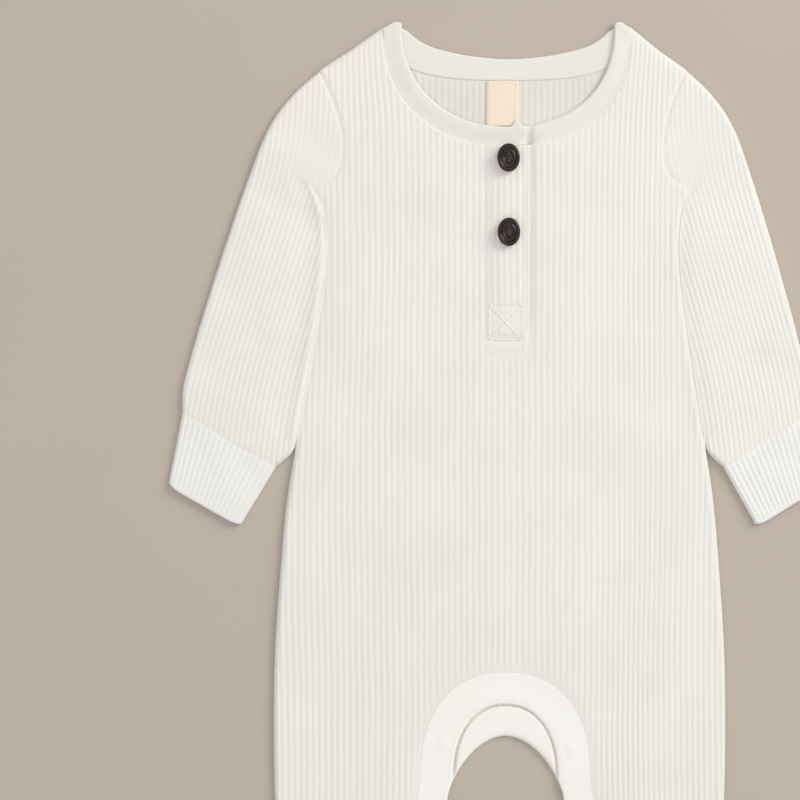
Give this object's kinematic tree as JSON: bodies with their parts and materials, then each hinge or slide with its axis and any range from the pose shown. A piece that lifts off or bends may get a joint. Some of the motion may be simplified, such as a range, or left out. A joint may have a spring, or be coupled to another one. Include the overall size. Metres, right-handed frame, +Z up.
{
  "type": "baby romper",
  "caption": "Long-sleeved ribbed-knit baby romper laid flat, with a round neckband, a buttoned placket, sewn-on cuffs and an open inseam between its legs.",
  "frame": {"origin": "on the table, under the middle of the garment's outline", "axes": "+X to the right and +Y towards the neck as seen from above, +Z up from the table through the front"},
  "size_m": [0.4083, 0.64, 0.0103],
  "materials": {
    "knit": "ribbed cotton knit, matte",
    "band_knit": "plain cotton band, matte",
    "label_tape": "woven tape, blank",
    "button": "dark horn look, half gloss"
  },
  "bodies": {
    "root": {"front": "knit", "back": "knit", "sleeve_left": "knit", "sleeve_right": "knit", "cuff_left": "knit", "cuff_right": "knit", "neckband": "knit", "placket": "knit", "front_inseam_band": "band_knit", "back_inseam_band": "band_knit", "label": "label_tape", "button_upper": "button", "button_lower": "button"}
  },
  "joints": []
}
